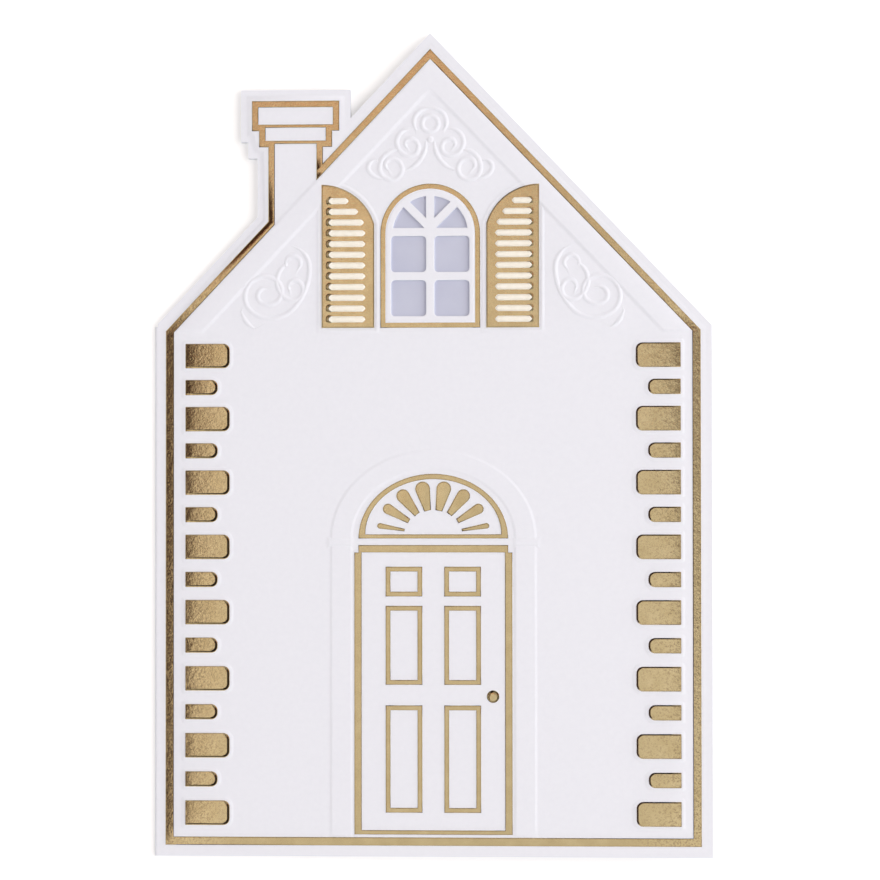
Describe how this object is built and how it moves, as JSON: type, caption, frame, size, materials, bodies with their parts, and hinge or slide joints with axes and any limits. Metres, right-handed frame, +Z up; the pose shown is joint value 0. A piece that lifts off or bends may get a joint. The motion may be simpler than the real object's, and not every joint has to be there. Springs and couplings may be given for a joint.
{
  "type": "greeting card",
  "caption": "Folded greeting card, die-cut as a house with a chimney, embossed in relief and stamped with gold foil lines, shutters, door and corner stones.",
  "frame": {"origin": "middle of the card's underside, where it lies on the table", "axes": "+Z up, out of the card's front; +Y up the house, from its foot to its peak; +X across the card, from the fold at the left to the free edge"},
  "size_m": [0.12, 0.1772, 0.0048],
  "materials": {
    "sheet": "smooth uncoated white card stock, blind embossed",
    "foil": "hot-stamped gold foil, satin",
    "glazing": "pale lavender translucent sheet, matt"
  },
  "bodies": {
    "root": {"card": "sheet", "window_glazing": "glazing", "border_foil": "foil", "chimney_foil": "foil", "window_frame_foil": "foil", "left_shutter_foil": "foil", "right_shutter_foil": "foil", "fanlight_foil": "foil", "door_frame_foil": "foil", "door_panel_foil": "foil", "door_knob_foil": "foil", "left_stone_foil": "foil", "right_stone_foil": "foil"}
  },
  "joints": []
}
